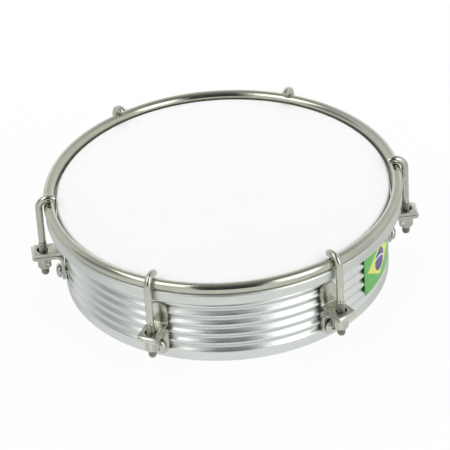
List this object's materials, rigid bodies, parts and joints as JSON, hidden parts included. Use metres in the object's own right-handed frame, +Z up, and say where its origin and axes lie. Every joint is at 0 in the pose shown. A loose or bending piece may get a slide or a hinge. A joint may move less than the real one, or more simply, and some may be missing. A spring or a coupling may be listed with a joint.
{
  "type": "tamborim",
  "caption": "Small round frame drum with a white film head, ribbed aluminium shell, round counter hoop and hook-and-bracket tuning all round.",
  "frame": {"origin": "centre of the circle that the open rim stands on", "axes": "+Z up through the middle of the head; seen with +Y away from the viewer, the sticker is on the right, a little to the front"},
  "size_m": [0.1824, 0.1694, 0.0498],
  "materials": {
    "aluminium": "satin spun aluminium with fine lines round it",
    "nickel": "bright nickel plate, slightly yellow",
    "zinc": "bright zinc plate",
    "film": "smooth opaque white polyester film, soft sheen",
    "print": "glossy vinyl printed green, yellow, blue and white"
  },
  "bodies": {
    "drum": {"shell": "aluminium", "head_film": "film", "flag_sticker": "print", "bracket_1": "nickel", "bracket_2": "nickel", "bracket_3": "nickel", "bracket_4": "nickel", "bracket_5": "nickel", "bracket_6": "nickel", "bracket_bolt_1": "zinc", "bracket_bolt_2": "zinc", "bracket_bolt_3": "zinc", "bracket_bolt_4": "zinc", "bracket_bolt_5": "zinc", "bracket_bolt_6": "zinc", "bolt_washer_1": "zinc", "bolt_washer_2": "zinc", "bolt_washer_3": "zinc", "bolt_washer_4": "zinc", "bolt_washer_5": "zinc", "bolt_washer_6": "zinc", "bolt_nut_1": "zinc", "bolt_nut_2": "zinc", "bolt_nut_3": "zinc", "bolt_nut_4": "zinc", "bolt_nut_5": "zinc", "bolt_nut_6": "zinc"},
    "hoop_set": {"counter_hoop": "nickel", "flesh_hoop": "aluminium", "hook_1": "nickel", "hook_2": "nickel", "hook_3": "nickel", "hook_4": "nickel", "hook_5": "nickel", "hook_6": "nickel"},
    "nut_1": {"tuning_nut_1": "nickel"},
    "nut_2": {"tuning_nut_2": "nickel"},
    "nut_3": {"tuning_nut_3": "nickel"},
    "nut_4": {"tuning_nut_4": "nickel"},
    "nut_5": {"tuning_nut_5": "nickel"},
    "nut_6": {"tuning_nut_6": "nickel"}
  },
  "joints": [
    {"name": "hoop_travel", "type": "slide", "parent": "drum", "child": "hoop_set", "axis": [0, 0, 1], "range_m": [-0.00035, 0.0014]},
    {"name": "nut_1_turn", "type": "hinge", "parent": "drum", "child": "nut_1", "pos_m": [0.08535, 0.00777, 0.0134], "axis": [0, 0, 1], "range_deg": [-720, 180]},
    {"name": "nut_2_turn", "type": "hinge", "parent": "drum", "child": "nut_2", "pos_m": [0.03595, 0.0778, 0.0134], "axis": [0, 0, 1], "range_deg": [-720, 180]},
    {"name": "nut_3_turn", "type": "hinge", "parent": "drum", "child": "nut_3", "pos_m": [-0.0494, 0.07003, 0.0134], "axis": [0, 0, 1], "range_deg": [-720, 180]},
    {"name": "nut_4_turn", "type": "hinge", "parent": "drum", "child": "nut_4", "pos_m": [-0.08535, -0.00777, 0.0134], "axis": [0, 0, 1], "range_deg": [-720, 180]},
    {"name": "nut_5_turn", "type": "hinge", "parent": "drum", "child": "nut_5", "pos_m": [-0.03595, -0.0778, 0.0134], "axis": [0, 0, 1], "range_deg": [-720, 180]},
    {"name": "nut_6_turn", "type": "hinge", "parent": "drum", "child": "nut_6", "pos_m": [0.0494, -0.07003, 0.0134], "axis": [0, 0, 1], "range_deg": [-720, 180]}
  ],
  "couplings": [
    {"joint": "nut_1_turn", "follows": "hoop_travel", "rad_per_m": -8976},
    {"joint": "nut_2_turn", "follows": "hoop_travel", "rad_per_m": -8976},
    {"joint": "nut_3_turn", "follows": "hoop_travel", "rad_per_m": -8976},
    {"joint": "nut_4_turn", "follows": "hoop_travel", "rad_per_m": -8976},
    {"joint": "nut_5_turn", "follows": "hoop_travel", "rad_per_m": -8976},
    {"joint": "nut_6_turn", "follows": "hoop_travel", "rad_per_m": -8976}
  ]
}
